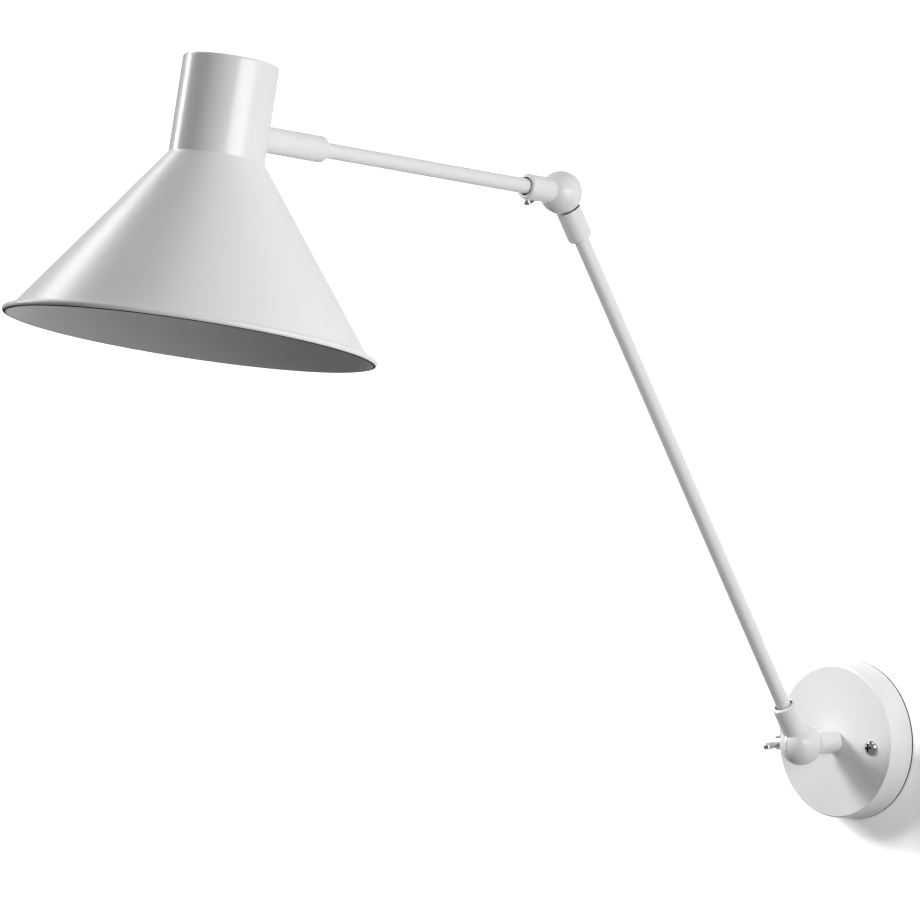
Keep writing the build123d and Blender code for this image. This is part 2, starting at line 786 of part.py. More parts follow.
# ---------------------------------------------------------------- lampholder on its strap
# local x points out from the wall, local y up along the shade's axis
shade_side = Plane(origin=shade_centre, x_dir=shade_frame.y_dir, z_dir=pivot_axis * -1)
strap_top = strap_height + strap_thickness
strap_foot = (
    -strap_offset * cos(strap_lean) - strap_tail * sin(strap_lean),
    strap_offset * sin(strap_lean) - strap_tail * cos(strap_lean),
)
strap_bend_height = (strap_top - strap_offset * sin(strap_lean)) / cos(strap_lean)
strap_bend = (
    -strap_offset * cos(strap_lean) + strap_bend_height * sin(strap_lean),
    strap_top,
)

with BuildPart() as holder_strap:
    with BuildSketch(shade_side):
        with BuildLine():
            FilletPolyline(strap_foot, strap_bend, (strap_tip, strap_top), radius=strap_bend_radius)
            offset(amount=strap_thickness, side=Side.RIGHT)
        make_face()
    extrude(amount=strap_width / 2, both=True)
    with BuildSketch(shade_frame.offset(-strap_top)):
        Circle(pipe_radius + thread_gap)
    extrude(amount=strap_thickness, mode=Mode.SUBTRACT)
    with BuildSketch(elbow_upper_frame.offset(shade_nut_level)):
        Circle(pipe_radius + thread_gap)
    extrude(amount=-strap_thickness, mode=Mode.SUBTRACT)
holder_strap.part.label = "holder_strap"
export_step(holder_strap.part, "parts/holder_strap.step")

holder_nut_end = -(strap_top + nut_height)
holder_nipple_start = holder_nut_end - pipe_end
holder_nipple_end = holder_nipple_start + holder_nipple_length
holder_nut = hex_nut(shade_frame, holder_nut_end, pipe_radius + thread_gap)
holder_nut.label = "holder_nut"
export_step(holder_nut, "parts/holder_nut.step")

holder_nipple = pipe(
    shade_frame,
    holder_nipple_start,
    holder_nipple_end,
    pipe_radius,
    pipe_bore_radius,
)
holder_nipple.label = "holder_nipple"
export_step(holder_nipple, "parts/holder_nipple.step")

cap_top = -strap_height
cap_shoulder = cap_top + holder_boss_height
cap_foot = cap_shoulder + holder_cap_height
body_end = cap_foot + holder_length
shell_end = body_end - holder_rim
shell_start = shell_end - shell_length
floor_level = shell_start - holder_floor_gap
bore_radius = shell_radius + shell_wall + thread_gap

with BuildPart() as holder_cap:
    with BuildSketch(section(shade_frame)):
        with BuildLine():
            Polyline(
                (holder_radius, cap_foot),
                (holder_radius, cap_foot - holder_skirt),
                (holder_boss_radius, cap_shoulder),
                (holder_boss_radius, cap_top),
                (pipe_radius + thread_gap, cap_top),
                (pipe_radius + thread_gap, cap_shoulder + holder_wall),
                (holder_boss_radius, cap_shoulder + holder_wall),
                (holder_radius - holder_wall, cap_foot - holder_skirt + holder_wall / 2),
                (holder_radius - holder_wall, cap_foot),
                close=True,
            )
        make_face()
    revolve(axis=long_axis(shade_frame))
holder_cap.part.label = "holder_cap"
export_step(holder_cap.part, "parts/holder_cap.step")

with BuildPart() as holder_body:
    with BuildSketch(shade_frame.offset(cap_foot)):
        Circle(holder_radius)
    extrude(amount=holder_length)
    with BuildSketch(shade_frame.offset(cap_foot + holder_rib_inset)):
        with PolarLocations(holder_radius, holder_rib_count):
            Rectangle(2 * holder_rib_depth, holder_rib_width)
    extrude(amount=holder_length - 2 * holder_rib_inset)
    with BuildSketch(shade_frame.offset(cap_foot)):
        Circle(holder_radius - holder_wall)
    extrude(amount=floor_level - holder_floor - cap_foot, mode=Mode.SUBTRACT)
    with BuildSketch(shade_frame.offset(body_end)):
        Circle(bore_radius)
    extrude(amount=floor_level - body_end, mode=Mode.SUBTRACT)
    with BuildSketch(shade_frame.offset(floor_level)):
        with GridLocations(2 * holder_wire_offset, 0, 2, 1):
            Circle(holder_wire_radius)
    extrude(amount=-holder_floor, mode=Mode.SUBTRACT)
holder_body.part.label = "holder_body"
export_step(holder_body.part, "parts/holder_body.step")

holder_shell = pipe(shade_frame, shell_start, shell_end, shell_radius + shell_wall, shell_radius)
holder_shell.label = "holder_shell"
export_step(holder_shell, "parts/holder_shell.step")

with BuildPart() as holder_contact:
    with BuildSketch(shade_side):
        with BuildLine():
            Polyline(
                (-contact_length / 2, -floor_level),
                (0, -floor_level),
                (contact_length / 4, -floor_level - contact_rise),
                (contact_length / 2, -floor_level - contact_rise),
            )
            offset(amount=contact_thickness, side=Side.RIGHT)
        make_face()
    extrude(amount=contact_width / 2, both=True)
holder_contact.part.label = "holder_contact"
export_step(holder_contact.part, "parts/holder_contact.step")
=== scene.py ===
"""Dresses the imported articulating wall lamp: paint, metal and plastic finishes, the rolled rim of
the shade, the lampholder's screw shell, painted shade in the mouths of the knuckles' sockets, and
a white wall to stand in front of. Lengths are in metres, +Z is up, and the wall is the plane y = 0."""
import json
from math import cos, pi, radians, sin, sqrt, tan

import bpy
import numpy as np
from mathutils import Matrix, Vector

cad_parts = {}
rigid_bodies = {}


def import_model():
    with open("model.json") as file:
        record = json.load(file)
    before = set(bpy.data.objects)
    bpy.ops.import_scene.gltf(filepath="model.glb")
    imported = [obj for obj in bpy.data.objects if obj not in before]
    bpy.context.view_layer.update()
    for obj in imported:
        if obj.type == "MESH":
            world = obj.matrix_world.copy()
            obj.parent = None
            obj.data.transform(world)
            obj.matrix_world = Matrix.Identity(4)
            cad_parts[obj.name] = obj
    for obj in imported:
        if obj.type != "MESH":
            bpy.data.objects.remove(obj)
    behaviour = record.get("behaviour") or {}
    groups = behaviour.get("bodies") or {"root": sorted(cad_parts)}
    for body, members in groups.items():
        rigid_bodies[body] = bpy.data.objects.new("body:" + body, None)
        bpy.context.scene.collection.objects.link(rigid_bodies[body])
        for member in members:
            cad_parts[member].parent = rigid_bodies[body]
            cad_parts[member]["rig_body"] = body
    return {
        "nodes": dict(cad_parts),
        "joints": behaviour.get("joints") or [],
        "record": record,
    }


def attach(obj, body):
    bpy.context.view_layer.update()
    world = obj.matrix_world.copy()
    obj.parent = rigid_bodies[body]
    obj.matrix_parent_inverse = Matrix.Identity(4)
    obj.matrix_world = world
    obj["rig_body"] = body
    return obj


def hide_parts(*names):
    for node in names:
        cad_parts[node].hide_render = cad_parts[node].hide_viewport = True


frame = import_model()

bl_info = {
    "name": "Articulating wall lamp",
    "version": (1, 0, 0),
    "blender": (4, 5, 0),
    "location": "3D View > Sidebar > Wall lamp",
    "description": "Finishes, rim, screw shell and stage of an articulating wall lamp",
    "category": "Add Mesh",
}

JOINTS = {joint["name"]: joint for joint in frame["joints"]}
MOUNTS = {mount["name"]: mount for mount in frame["record"]["mounts"]}
ELBOW = np.array(JOINTS["elbow_hinge"]["pos_m"])
BASE_PIVOT = np.array(JOINTS["base_hinge"]["pos_m"])
UPPER_ARM = np.array(JOINTS["shade_swivel"]["axis"])
SHADE_DOWN = np.array(MOUNTS["lamp_thread"]["axis"])
LOWER_ARM = (ELBOW - BASE_PIVOT) / np.linalg.norm(ELBOW - BASE_PIVOT)
PIVOT = np.array([1.0, 0.0, 0.0])

MERGE = 1e-6                 # metres between points that are the same point
SHARP = radians(28.0)        # faces that meet more sharply than this keep their edge


# ------------------------------------------------------------------ sizes and colours


class LampSizes(bpy.types.PropertyGroup):
    """Sizes of the pieces that are worked out here, in metres."""

    upper_arm_length: bpy.props.FloatProperty(
        name="Upper arm", description="Elbow axis to the shade's axis",
        default=0.3026, min=0.2, max=0.5, unit="LENGTH")
    neck_radius: bpy.props.FloatProperty(
        name="Neck radius", description="Outside radius of the shade's neck",
        default=0.0302, min=0.025, max=0.05, unit="LENGTH")
    neck_below_arm: bpy.props.FloatProperty(
        name="Neck below arm", description="Arm's axis down to the top of the cone",
        default=0.017, min=0.01, max=0.04, unit="LENGTH")
    sheet: bpy.props.FloatProperty(
        name="Sheet", description="Thickness of the shade's sheet",
        default=0.0008, min=0.0004, max=0.002, unit="LENGTH")
    sleeve_length: bpy.props.FloatProperty(
        name="Sleeve", description="Length of the cone's sleeve inside the neck",
        default=0.008, min=0.003, max=0.015, unit="LENGTH")
    cone_half_angle: bpy.props.FloatProperty(
        name="Cone half angle", description="Angle between the cone's wall and its axis",
        default=radians(36.6), min=radians(20.0), max=radians(60.0), subtype="ANGLE")
    rim_radius: bpy.props.FloatProperty(
        name="Rim radius", description="Outside radius of the rolled rim",
        default=0.1171, min=0.08, max=0.2, unit="LENGTH")
    bead_radius: bpy.props.FloatProperty(
        name="Bead radius", description="Radius of the rolled bead at the rim",
        default=0.0021, min=0.001, max=0.004, unit="LENGTH")
    shell_wall: bpy.props.FloatProperty(
        name="Screw shell wall", description="Thickness of the lampholder's screw shell",
        default=0.0004, min=0.0002, max=0.001, unit="LENGTH")
    thread_pitch: bpy.props.FloatProperty(
        name="Thread pitch", description="Pitch of the lampholder's round thread",
        default=0.00363, min=0.002, max=0.005, unit="LENGTH")
    thread_depth: bpy.props.FloatProperty(
        name="Thread depth", description="Half the height of the lampholder's round thread",
        default=0.00042, min=0.0001, max=0.001, unit="LENGTH")
    ball_radius: bpy.props.FloatProperty(
        name="Ball radius", description="Radius of the knuckles' balls",
        default=0.014, min=0.008, max=0.03, unit="LENGTH")
    mouth_radius: bpy.props.FloatProperty(
        name="Socket mouth", description="Radius of the sockets' open mouths",
        default=0.006, min=0.004, max=0.01, unit="LENGTH")
    plate_radius: bpy.props.FloatProperty(
        name="Plate radius", description="Radius of the wall plate's cover at the wall",
        default=0.0532, min=0.03, max=0.1, unit="LENGTH")
    edge_round: bpy.props.FloatProperty(
        name="Edge rounding", description="Rounding of the painted edges and the wing screws'",
        default=0.00022, min=0.0, max=0.001, unit="LENGTH")
    screw_round: bpy.props.FloatProperty(
        name="Screw rounding", description="Rounding of the cover screws' edges",
        default=0.00012, min=0.0, max=0.001, unit="LENGTH")
    moulded_round: bpy.props.FloatProperty(
        name="Moulded rounding", description="Rounding of the lampholder's edges",
        default=0.00015, min=0.0, max=0.001, unit="LENGTH")


class LampColours(bpy.types.PropertyGroup):
    """Colours and gloss of the finishes, and the strength of the stage's lamps."""

    paint: bpy.props.FloatVectorProperty(
        name="Paint", description="White paint of the arms, the neck and the plate",
        subtype="COLOR", size=3, min=0.0, max=1.0, default=(0.80, 0.80, 0.80))
    cone_paint: bpy.props.FloatVectorProperty(
        name="Cone paint", description="Textured white paint of the cone",
        subtype="COLOR", size=3, min=0.0, max=1.0, default=(0.845, 0.845, 0.84))
    plate_paint: bpy.props.FloatVectorProperty(
        name="Plate paint", description="White paint of the wall plate",
        subtype="COLOR", size=3, min=0.0, max=1.0, default=(0.87, 0.87, 0.87))
    # Painted shade: a near-black colour put where shade falls, in the sockets' mouths and hollows,
    # in the rim's seam and in the cover screws' cross recess.
    painted_shade: bpy.props.FloatVectorProperty(
        name="Primer", description="Dark primer inside the sockets, where no white paint reaches",
        subtype="COLOR", size=3, min=0.0, max=1.0, default=(0.03, 0.03, 0.03))
    holder_plastic: bpy.props.FloatVectorProperty(
        name="Lampholder plastic", description="Plastic of the lampholder",
        subtype="COLOR", size=3, min=0.0, max=1.0, default=(0.70, 0.69, 0.66))
    terminal_plastic: bpy.props.FloatVectorProperty(
        name="Terminal plastic", description="Plastic of the terminal block",
        subtype="COLOR", size=3, min=0.0, max=1.0, default=(0.66, 0.65, 0.60))
    zinc: bpy.props.FloatVectorProperty(
        name="Zinc", description="Zinc plating of the hidden hardware",
        subtype="COLOR", size=3, min=0.0, max=1.0, default=(0.58, 0.59, 0.60))
    chrome: bpy.props.FloatVectorProperty(
        name="Chrome", description="Chrome of the cover screws and wing screws",
        subtype="COLOR", size=3, min=0.0, max=1.0, default=(0.55, 0.56, 0.57))
    brass: bpy.props.FloatVectorProperty(
        name="Brass", description="Brass of the contacts and terminal screws",
        subtype="COLOR", size=3, min=0.0, max=1.0, default=(0.72, 0.52, 0.24))
    fibre: bpy.props.FloatVectorProperty(
        name="Fibre", description="Pressed fibre of the friction rings",
        subtype="COLOR", size=3, min=0.0, max=1.0, default=(0.055, 0.042, 0.034))
    gloss_roughness: bpy.props.FloatProperty(
        name="Gloss paint roughness", description="Roughness of the arms' paint",
        default=0.30, min=0.0, max=1.0, subtype="FACTOR")
    satin_roughness: bpy.props.FloatProperty(
        name="Satin paint roughness", description="Roughness of the neck's paint",
        default=0.30, min=0.0, max=1.0, subtype="FACTOR")
    cone_roughness: bpy.props.FloatProperty(
        name="Cone paint roughness", description="Roughness of the cone's textured paint",
        default=0.38, min=0.0, max=1.0, subtype="FACTOR")
    side_power: bpy.props.FloatProperty(
        name="Side lamp", description="Power of the soft lamp by the wall on the right, in watts",
        default=7.9, min=0.0)
    front_power: bpy.props.FloatProperty(
        name="Front lamp", description="Power of the soft lamp at the front right, in watts",
        default=11.8, min=0.0)
    plate_power: bpy.props.FloatProperty(
        name="Plate lamp", description="Power of the spot at the upper left on the plate, in watts",
        default=36.0, min=0.0)
    strip_power: bpy.props.FloatProperty(
        name="Strip lamp", description="Power of the tall narrow lamp at the left, in watts",
        default=8.0, min=0.0)
    crown_power: bpy.props.FloatProperty(
        name="Crown lamp", description="Power of the small lamp high at the left, in watts",
        default=3.4, min=0.0)
    low_power: bpy.props.FloatProperty(
        name="Low lamp", description="Power of the soft lamp low on the right, in watts",
        default=3.9, min=0.0)
    top_power: bpy.props.FloatProperty(
        name="Top lamp", description="Power of the soft lamp overhead, in watts",
        default=3.4, min=0.0)
    fill_level: bpy.props.FloatProperty(
        name="Fill", description="Level of the light from all round",
        default=0.10, min=0.0, max=2.0)
    wall_glow: bpy.props.FloatProperty(
        name="Wall glow", description="How much the wall shines to the camera, away from the plate",
        default=0.95, min=0.0, max=2.0)


# ------------------------------------------------------------------ shader writing


class Socket:
    """An output socket; arithmetic on it adds Math nodes."""

    def __init__(self, finish, socket):
        self.finish = finish
        self.socket = socket

    def _math(self, operation, first, second):
        return self.finish.node("ShaderNodeMath", {"operation": operation}, {0: first, 1: second})

    def __add__(self, other):
        return self._math("ADD", self, other)

    def __radd__(self, other):
        return self._math("ADD", other, self)

    def __sub__(self, other):
        return self._math("SUBTRACT", self, other)

    def __rsub__(self, other):
        return self._math("SUBTRACT", other, self)

    def __mul__(self, other):
        return self._math("MULTIPLY", self, other)

    def __rmul__(self, other):
        return self._math("MULTIPLY", other, self)


class Finish:
    """A node material, or the world's nodes, written as calls of one node-making method."""

    def __init__(self, tree):
        self.tree = tree
        tree.nodes.clear()

    def node(self, kind, settings=None, inputs=None, output=0):
        """Adds a node: its settings first, then the values or links of its sockets."""
        made = self.tree.nodes.new(kind)
        for key, value in (settings or {}).items():
            if key == "stops":
                ramp = made.color_ramp
                while len(ramp.elements) < len(value):
                    ramp.elements.new(0.5)
                for element, (place, colour) in zip(ramp.elements, value):
                    element.position = place
                    element.color = colour
            else:
                setattr(made, key, value)
        for key, value in (inputs or {}).items():
            if isinstance(value, Socket):
                self.tree.links.new(value.socket, made.inputs[key])
            else:
                made.inputs[key].default_value = value
        return None if output is None else Socket(self, made.outputs[output])

    def place(self):
        """Object coordinates, in metres."""
        return self.node("ShaderNodeTexCoord", output="Object")

    def noise(self, size, detail=2.0, roughness=0.5):
        """Noise whose grains are about size metres across, from 0 to 1."""
        return self.node(
            "ShaderNodeTexNoise", {"noise_dimensions": "3D"},
            {"Vector": self.place(), "Scale": 1.0 / size, "Detail": detail, "Roughness": roughness})

    def bump(self, height, strength, distance):
        """A normal from a height of 0 to 1 that stands for distance metres."""
        return self.node(
            "ShaderNodeBump", None, {"Strength": strength, "Distance": distance, "Height": height})

    def tint(self, colour, factor, other):
        """A colour between two, by factor."""
        return self.node(
            "ShaderNodeMix", {"data_type": "RGBA"},
            {0: factor, 6: rgba(colour), 7: rgba(other)}, output=2)

    def surface(self, **inputs):
        """Ends the material in a Principled BSDF with these inputs."""
        names = {key.replace("_", " ").title(): value for key, value in inputs.items()}
        names = {key.replace("Ior", "IOR"): value for key, value in names.items()}
        shader = self.node("ShaderNodeBsdfPrincipled", None, names)
        self.node("ShaderNodeOutputMaterial", None, {"Surface": shader}, output=None)


def rgba(colour):
    return (colour[0], colour[1], colour[2], 1.0)


def scaled(colour, factor):
    return [min(1.0, part * factor) for part in colour]


def new_finish(name):
    """A new material's tree to write in, and the material."""
    material = bpy.data.materials.new(name)
    material.use_nodes = True
    return Finish(material.node_tree), material


def paint_finish(name, colour, roughness, peel_size, peel_depth, coat=0.0, grain_size=None):
    """Sprayed and baked paint: slow shade and gloss changes, orange peel, and a fine grain."""
    finish, material = new_finish(name)
    cloud = finish.noise(0.06, detail=1.0)
    speck = finish.noise(0.0011, detail=1.0)
    peel = finish.noise(peel_size, detail=2.0)
    height = peel
    if grain_size:
        height = peel * 0.35 + finish.noise(grain_size, detail=3.0, roughness=0.65) * 0.65
    finish.surface(
        base_color=finish.tint(colour, cloud * 0.6 + speck * 0.4, scaled(colour, 0.965)),
        roughness=roughness + (cloud - 0.5) * 0.05 + (peel - 0.5) * 0.04,
        ior=1.5,
        coat_weight=coat,
        coat_roughness=0.12,
        normal=finish.bump(height, 1.0, peel_depth))
    return material


def painted_shade_finish(name, colour):
    """Dull near-black paint put where shade falls: painted shade in recesses and gaps."""
    return paint_finish(name, colour, 0.6, peel_size=0.0015, peel_depth=0.00002)


def plated_finish(name, colour, roughness, stain, streak):
    """Plated metal: mottled colour, uneven polish and fine marks."""
    finish, material = new_finish(name)
    mottle = finish.noise(0.004, detail=3.0, roughness=0.6)
    fine = finish.noise(0.0006, detail=2.0)
    finish.surface(
        base_color=finish.tint(colour, mottle, stain),
        metallic=1.0,
        roughness=roughness + (mottle - 0.5) * 0.14 + (fine - 0.5) * streak,
        normal=finish.bump(fine, 0.4, 0.00001))
    return material


def moulded_finish(name, colour, roughness):
    """Moulded plastic: soft sheen, faint flow marks and a fine spark texture."""
    finish, material = new_finish(name)
    flow = finish.noise(0.012, detail=2.0)
    spark = finish.noise(0.0004, detail=2.0, roughness=0.6)
    finish.surface(
        base_color=finish.tint(colour, flow * 0.7 + spark * 0.3, scaled(colour, 0.93)),
        roughness=roughness + (flow - 0.5) * 0.08,
        ior=1.49,
        normal=finish.bump(spark, 0.5, 0.00002))
    return material


def fibre_finish(name, colour):
    """Pressed vulcanised fibre: dark, dull, with pale flecks."""
    finish, material = new_finish(name)
    felt = finish.noise(0.0009, detail=4.0, roughness=0.7)
    fleck = finish.node(
        "ShaderNodeValToRGB",
        {"stops": [(0.58, (0, 0, 0, 1)), (0.72, (1, 1, 1, 1))]},
        {"Fac": felt})
    finish.surface(
        base_color=finish.tint(colour, fleck, scaled(colour, 3.0)),
        roughness=0.75 + (felt - 0.5) * 0.2,
        normal=finish.bump(felt, 0.8, 0.00005))
    return material


# ------------------------------------------------------------------ surfaces


def grid_faces(rows, columns, closed_rows, closed_columns):
    """Quads of a grid of rows by columns points, as an array of four indices a face.

    The point at row i and column j has the index i * columns + j."""
    i = np.arange(rows if closed_rows else rows - 1)
    j = np.arange(columns if closed_columns else columns - 1)
    i, j = (part.ravel() for part in np.meshgrid(i, j, indexing="ij"))
    below, right = (i + 1) % rows, (j + 1) % columns
    corners = (i * columns + j, i * columns + right, below * columns + right, below * columns + j)
    return np.stack(corners, axis=1)


def outward(points, faces):
    """The faces of a closed surface, turned round if its volume comes out negative.

    The volume is a sixth of the sum, over fans of triangles from each face's first corner, of
    first . (second x third)."""
    volume = 0.0
    for k in range(1, faces.shape[1] - 1):
        first, second, third = (points[faces[:, i]] for i in (0, k, k + 1))
        volume += np.einsum("ij,ij->", first, np.cross(second, third))
    return faces if volume > 0.0 else faces[:, ::-1]


def new_piece(name, points, faces, material):
    """An object of these points and faces, at the origin, smooth but for its sharp edges."""
    mesh = bpy.data.meshes.new(name)
    mesh.from_pydata(points, [], faces)
    mesh.materials.append(material)
    mesh.update()
    mesh.shade_smooth()
    mesh.set_sharp_from_angle(angle=SHARP)
    piece = bpy.data.objects.new(name, mesh)
    bpy.context.scene.collection.objects.link(piece)
    return piece


def turned(name, origin, axis, profile, segments, material):
    """A body of revolution with a closed profile.

    The profile's points are (radius, level). A point is origin + axis * level + radius *
    (side * cos(angle) + across * sin(angle)), on a grid of profile points by angles."""
    side = PIVOT
    across = np.cross(axis, side)
    angle = np.linspace(0.0, 2.0 * pi, segments, endpoint=False)
    ring = np.outer(np.cos(angle), side) + np.outer(np.sin(angle), across)
    profile = np.array(profile)
    points = origin + profile[:, 1, None, None] * axis + profile[:, 0, None, None] * ring
    points = points.reshape(-1, 3)
    faces = outward(points - origin, grid_faces(len(profile), segments, True, True))
    return new_piece(name, points, faces.tolist(), material)


def arc(centre, radius, start, end, count):
    """Points round a centre from one angle to another, as an array of (x, y)."""
    angle = np.linspace(start, end, count)
    return np.stack([centre[0] + radius * np.cos(angle), centre[1] + radius * np.sin(angle)], 1)


def line(start, end, count):
    """Points evenly from start to end, without the end, as an array of (x, y)."""
    share = np.linspace(0.0, 1.0, count, endpoint=False)[:, None]
    return np.array(start) * (1.0 - share) + np.array(end) * share


def joined_copy(node, name, material, edge_round=0.0):
    """A copy of a CAD node with its loose triangles joined at equal points.

    Points are equal when they round to the same multiple of MERGE. Triangles that lose a
    corner are left out. The copy takes the node's place and rides on the node's body."""
    source = frame["nodes"][node].data
    points = np.empty(len(source.vertices) * 3)
    source.vertices.foreach_get("co", points)
    corners = np.empty(len(source.loops), dtype=np.int32)
    source.loops.foreach_get("vertex_index", corners)
    points = points.reshape(-1, 3)
    keys = np.round(points / MERGE).astype(np.int64)
    _, first, inverse = np.unique(keys, axis=0, return_index=True, return_inverse=True)
    faces = inverse.ravel()[corners].reshape(-1, 3)
    whole = (faces != np.roll(faces, 1, axis=1)).all(axis=1)
    piece = new_piece(name, points[first], faces[whole].tolist(), material)
    if edge_round:
        bevel = piece.modifiers.new("edge_round", "BEVEL")
        bevel.width = edge_round
        bevel.segments = 2
        bevel.limit_method = "ANGLE"
        bevel.angle_limit = SHARP
    shading = piece.modifiers.new("even_shading", "WEIGHTED_NORMAL")
    shading.keep_sharp = True
    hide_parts(node)
    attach(piece, frame["nodes"][node]["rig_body"])
    return piece


def finished_nodes(nodes, material, edge_round=0.0):
    """Joined copies of several CAD nodes in one finish."""
    pieces = [joined_copy(node, node + "_finished", material, edge_round) for node in nodes]
    return pieces


def second_finish(piece, chosen, material):
    """Gives a second material to the faces that chosen picks by their middles and normals."""
    mesh = piece.data
    mesh.materials.append(material)
    middles, normals = (np.empty(len(mesh.polygons) * 3) for _ in range(2))
    mesh.polygons.foreach_get("center", middles)
    mesh.polygons.foreach_get("normal", normals)
    picked = chosen(middles.reshape(-1, 3), normals.reshape(-1, 3))
    mesh.polygons.foreach_set("material_index", picked.astype(np.int32))
    mesh.update()


def socket_shade_faces(pivot, axis, ball_radius, mouth_radius):
    """Picks a socket's mouth, and the hollow that faces the other half ball, to take painted shade.

    A face is in the mouth when its middle is beyond the hollow and nearer to the axis than the
    mouth's radius, and in the hollow when it lies just outside the ball and faces the pivot."""
    mouth_edge = mouth_radius * 1.02
    hollow_start, hollow_end = ball_radius * 1.02, ball_radius * 1.1
    turned_inwards = -0.8    # cosine between a face's normal and its direction from the pivot

    def chosen(middles, normals):
        out = middles - pivot
        level = out @ axis
        from_axis = np.linalg.norm(out - level[:, None] * axis, axis=1)
        distance = np.linalg.norm(out, axis=1)
        facing = np.einsum("ij,ij->i", out, normals) / distance
        mouth = (from_axis < mouth_edge) & (level > hollow_end)
        hollow = (distance > hollow_start) & (distance < hollow_end)
        return mouth | (hollow & (facing < turned_inwards))

    return chosen


def cross_recess(middles, normals):
    """Picks the walls and floor of the cross in a domed screw head that faces -Y, to take painted
    shade.

    A wall stands along Y inside the head's edge, and the floor is the flat below its top. The
    screws stand on either side of x = 0."""
    reach, depth, dome = 0.0030, 0.0022, 0.0008    # the cross's arms and depth, and the head's rise
    right = middles[:, 0] > 0.0
    from_axis = np.empty(len(middles))
    for side in (right, ~right):
        centre = (middles[side].min(axis=0) + middles[side].max(axis=0)) / 2.0
        from_axis[side] = np.hypot(*(middles[side] - centre)[:, ::2].T)
    below_top = middles[:, 1] - middles[:, 1].min()
    inside = (from_axis < reach) & (below_top < depth)
    floor = (normals[:, 1] < -0.999) & (below_top > dome)
    return inside & ((np.abs(normals[:, 1]) < 0.1) | floor)


# ------------------------------------------------------------------ operators


class WALLLAMP_OT_shade_cone(bpy.types.Operator):
    """Spun cone with its sleeve, shoulder and outward rolled rim"""

    bl_idname = "wall_lamp.shade_cone"
    bl_label = "Shade cone"

    def execute(self, context):
        """The profile runs up the sleeve's inside, over its end, out over the shoulder, down
        the outside, round the bead, with the open seam under it, and back up the inside, which
        is a tangent of the bead."""
        sizes = context.scene.lamp_sizes
        colours = context.scene.lamp_colours
        alpha = sizes.cone_half_angle
        sheet, bead = sizes.sheet, sizes.bead_radius
        centre = ELBOW + UPPER_ARM * sizes.upper_arm_length
        origin = centre + SHADE_DOWN * sizes.neck_below_arm
        outer_sleeve = sizes.neck_radius - sheet - 0.00005
        inner_sleeve = outer_sleeve - sheet
        inner_start = sizes.neck_radius - sheet / cos(alpha)
        corner_level = (inner_sleeve - inner_start) / tan(alpha)
        bead_x = sizes.rim_radius - bead
        touch_x = bead_x - bead * cos(alpha)
        touch_level = (touch_x - inner_start) / tan(alpha)
        bead_level = touch_level - bead * sin(alpha)
        # where the cone's outside meets the bead
        along = sqrt(bead ** 2 - (bead - sheet) ** 2)
        meet = np.array([bead_x - (bead - sheet) * cos(alpha) - along * sin(alpha),
                         bead_level + (bead - sheet) * sin(alpha) - along * cos(alpha)])
        seam = (radians(50.0), radians(100.0))    # from the rim's outermost line, downwards
        start = np.arctan2(meet[1] - bead_level, meet[0] - bead_x)
        end = np.arctan2(touch_level - bead_level, touch_x - bead_x)
        rows, segments = 40, 360    # points along the cone's wall and round it
        profile = np.concatenate([
            line((inner_sleeve, corner_level), (inner_sleeve, -sizes.sleeve_length), 3),
            line((inner_sleeve, -sizes.sleeve_length), (outer_sleeve, -sizes.sleeve_length), 2),
            line((outer_sleeve, -sizes.sleeve_length), (outer_sleeve, 0.0), 3),
            line((outer_sleeve, 0.0), (sizes.neck_radius, 0.0), 2),
            line((sizes.neck_radius, 0.0), meet, rows),
            arc((bead_x, bead_level), bead, start, seam[0], 20),
            arc((bead_x, bead_level), bead * 0.5, seam[0], seam[1], 6),
            arc((bead_x, bead_level), bead, seam[1], end, 8),
            line((touch_x, touch_level), (inner_sleeve, corner_level), rows)[1:],
        ])
        material = paint_finish(
            "textured_white_paint", colours.cone_paint, colours.cone_roughness,
            peel_size=0.0016, peel_depth=0.0001, grain_size=0.0009)
        piece = turned("shade_cone_spun", origin, SHADE_DOWN, profile, segments, material)

        # Painted shade: the faces inside the seam under the bead are made near-black; the seam is
        # real, its blackness is shade painted on.
        def in_seam_shade(middles, normals):
            level = (middles - origin) @ SHADE_DOWN
            radius = np.linalg.norm(middles - origin - level[:, None] * SHADE_DOWN, axis=1)
            return np.hypot(radius - bead_x, level - bead_level) < bead * 0.97

        second_finish(piece, in_seam_shade, painted_shade_finish("seam_painted_shade", colours.painted_shade))
        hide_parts("shade_cone")
        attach(piece, "shade")
        return {"FINISHED"}


class WALLLAMP_OT_shade_neck(bpy.types.Operator):
    """Satin neck of the shade"""

    bl_idname = "wall_lamp.shade_neck"
    bl_label = "Shade neck"

    def execute(self, context):
        colours = context.scene.lamp_colours
        material = paint_finish(
            "satin_white_paint", colours.paint, colours.satin_roughness,
            peel_size=0.0030, peel_depth=0.000012, coat=0.15)
        finished_nodes(["shade_neck"], material)
        return {"FINISHED"}


